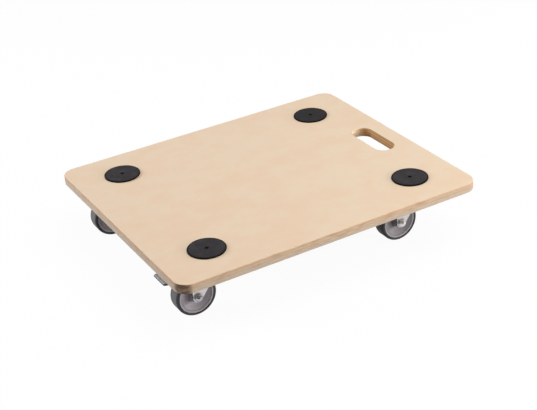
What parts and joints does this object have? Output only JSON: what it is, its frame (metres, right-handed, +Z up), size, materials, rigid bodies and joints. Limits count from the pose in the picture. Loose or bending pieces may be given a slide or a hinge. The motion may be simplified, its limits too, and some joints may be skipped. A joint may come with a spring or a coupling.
{
  "type": "furniture dolly",
  "caption": "Flat plywood furniture dolly with a hand slot, round anti-slip pads and swivel castors, some with a foot brake.",
  "frame": {"origin": "on the floor, under the middle of the deck", "axes": "+X along the deck towards the hand slot, +Y to the left of that, +Z up; at rest all castors trail towards -X"},
  "size_m": [0.601, 0.5, 0.1135],
  "materials": {
    "plywood": "sanded clear-sealed birch face veneer, bare layered edges",
    "pad_rubber": "matt black",
    "black_screw": "black phosphate",
    "zinc_pressing": "bright zinc plate",
    "zinc_fastener": "bright zinc plate",
    "bearing_steel": "ground, greased",
    "tyre_rubber": "matt grey",
    "wheel_plastic": "satin light grey moulding",
    "shoe_rubber": "matt black"
  },
  "bodies": {
    "deck": {"deck_board": "plywood", "pad_screws": "black_screw", "plate_screws": "zinc_fastener", "grip_pad_front_left": "pad_rubber", "mounting_plate_front_left": "zinc_pressing", "king_pin_front_left": "zinc_fastener", "bearing_cup_front_left": "zinc_pressing", "grip_pad_front_right": "pad_rubber", "mounting_plate_front_right": "zinc_pressing", "king_pin_front_right": "zinc_fastener", "bearing_cup_front_right": "zinc_pressing", "grip_pad_rear_left": "pad_rubber", "mounting_plate_rear_left": "zinc_pressing", "king_pin_rear_left": "zinc_fastener", "bearing_cup_rear_left": "zinc_pressing", "grip_pad_rear_right": "pad_rubber", "mounting_plate_rear_right": "zinc_pressing", "king_pin_rear_right": "zinc_fastener", "bearing_cup_rear_right": "zinc_pressing"},
    "swivel_front_left": {"fork_front_left": "zinc_pressing", "swivel_balls_front_left": "bearing_steel", "axle_bolt_front_left": "zinc_fastener", "axle_nut_front_left": "zinc_fastener", "axle_sleeve_front_left": "bearing_steel", "brake_pin_front_left": "zinc_fastener"},
    "wheel_front_left": {"wheel_core_front_left": "wheel_plastic", "tyre_front_left": "tyre_rubber"},
    "pedal_front_left": {"brake_pedal_front_left": "zinc_pressing", "brake_shoe_front_left": "shoe_rubber", "shoe_rivet_front_left": "zinc_fastener"},
    "swivel_front_right": {"fork_front_right": "zinc_pressing", "swivel_balls_front_right": "bearing_steel", "axle_bolt_front_right": "zinc_fastener", "axle_nut_front_right": "zinc_fastener", "axle_sleeve_front_right": "bearing_steel"},
    "wheel_front_right": {"wheel_core_front_right": "wheel_plastic", "tyre_front_right": "tyre_rubber"},
    "swivel_rear_left": {"fork_rear_left": "zinc_pressing", "swivel_balls_rear_left": "bearing_steel", "axle_bolt_rear_left": "zinc_fastener", "axle_nut_rear_left": "zinc_fastener", "axle_sleeve_rear_left": "bearing_steel"},
    "wheel_rear_left": {"wheel_core_rear_left": "wheel_plastic", "tyre_rear_left": "tyre_rubber"},
    "swivel_rear_right": {"fork_rear_right": "zinc_pressing", "swivel_balls_rear_right": "bearing_steel", "axle_bolt_rear_right": "zinc_fastener", "axle_nut_rear_right": "zinc_fastener", "axle_sleeve_rear_right": "bearing_steel", "brake_pin_rear_right": "zinc_fastener"},
    "wheel_rear_right": {"wheel_core_rear_right": "wheel_plastic", "tyre_rear_right": "tyre_rubber"},
    "pedal_rear_right": {"brake_pedal_rear_right": "zinc_pressing", "brake_shoe_rear_right": "shoe_rubber", "shoe_rivet_rear_right": "zinc_fastener"}
  },
  "joints": [
    {"name": "front_left_swivel", "type": "hinge", "parent": "deck", "child": "swivel_front_left", "pos_m": [0.208, 0.168, 0.088], "axis": [0, 0, 1], "continuous": true},
    {"name": "front_left_wheel", "type": "hinge", "parent": "swivel_front_left", "child": "wheel_front_left", "pos_m": [0.175, 0.168, 0.0375], "axis": [0, 1, 0], "continuous": true},
    {"name": "front_left_brake", "type": "hinge", "parent": "swivel_front_left", "child": "pedal_front_left", "pos_m": [0.172, 0.168, 0.08], "axis": [0, -1, 0], "range_deg": [0, 10]},
    {"name": "front_right_swivel", "type": "hinge", "parent": "deck", "child": "swivel_front_right", "pos_m": [0.208, -0.168, 0.088], "axis": [0, 0, 1], "continuous": true},
    {"name": "front_right_wheel", "type": "hinge", "parent": "swivel_front_right", "child": "wheel_front_right", "pos_m": [0.175, -0.168, 0.0375], "axis": [0, 1, 0], "continuous": true},
    {"name": "rear_left_swivel", "type": "hinge", "parent": "deck", "child": "swivel_rear_left", "pos_m": [-0.208, 0.168, 0.088], "axis": [0, 0, 1], "continuous": true},
    {"name": "rear_left_wheel", "type": "hinge", "parent": "swivel_rear_left", "child": "wheel_rear_left", "pos_m": [-0.241, 0.168, 0.0375], "axis": [0, 1, 0], "continuous": true},
    {"name": "rear_right_swivel", "type": "hinge", "parent": "deck", "child": "swivel_rear_right", "pos_m": [-0.208, -0.168, 0.088], "axis": [0, 0, 1], "continuous": true},
    {"name": "rear_right_wheel", "type": "hinge", "parent": "swivel_rear_right", "child": "wheel_rear_right", "pos_m": [-0.241, -0.168, 0.0375], "axis": [0, 1, 0], "continuous": true},
    {"name": "rear_right_brake", "type": "hinge", "parent": "swivel_rear_right", "child": "pedal_rear_right", "pos_m": [-0.244, -0.168, 0.08], "axis": [0, -1, 0], "range_deg": [0, 10]}
  ]
}
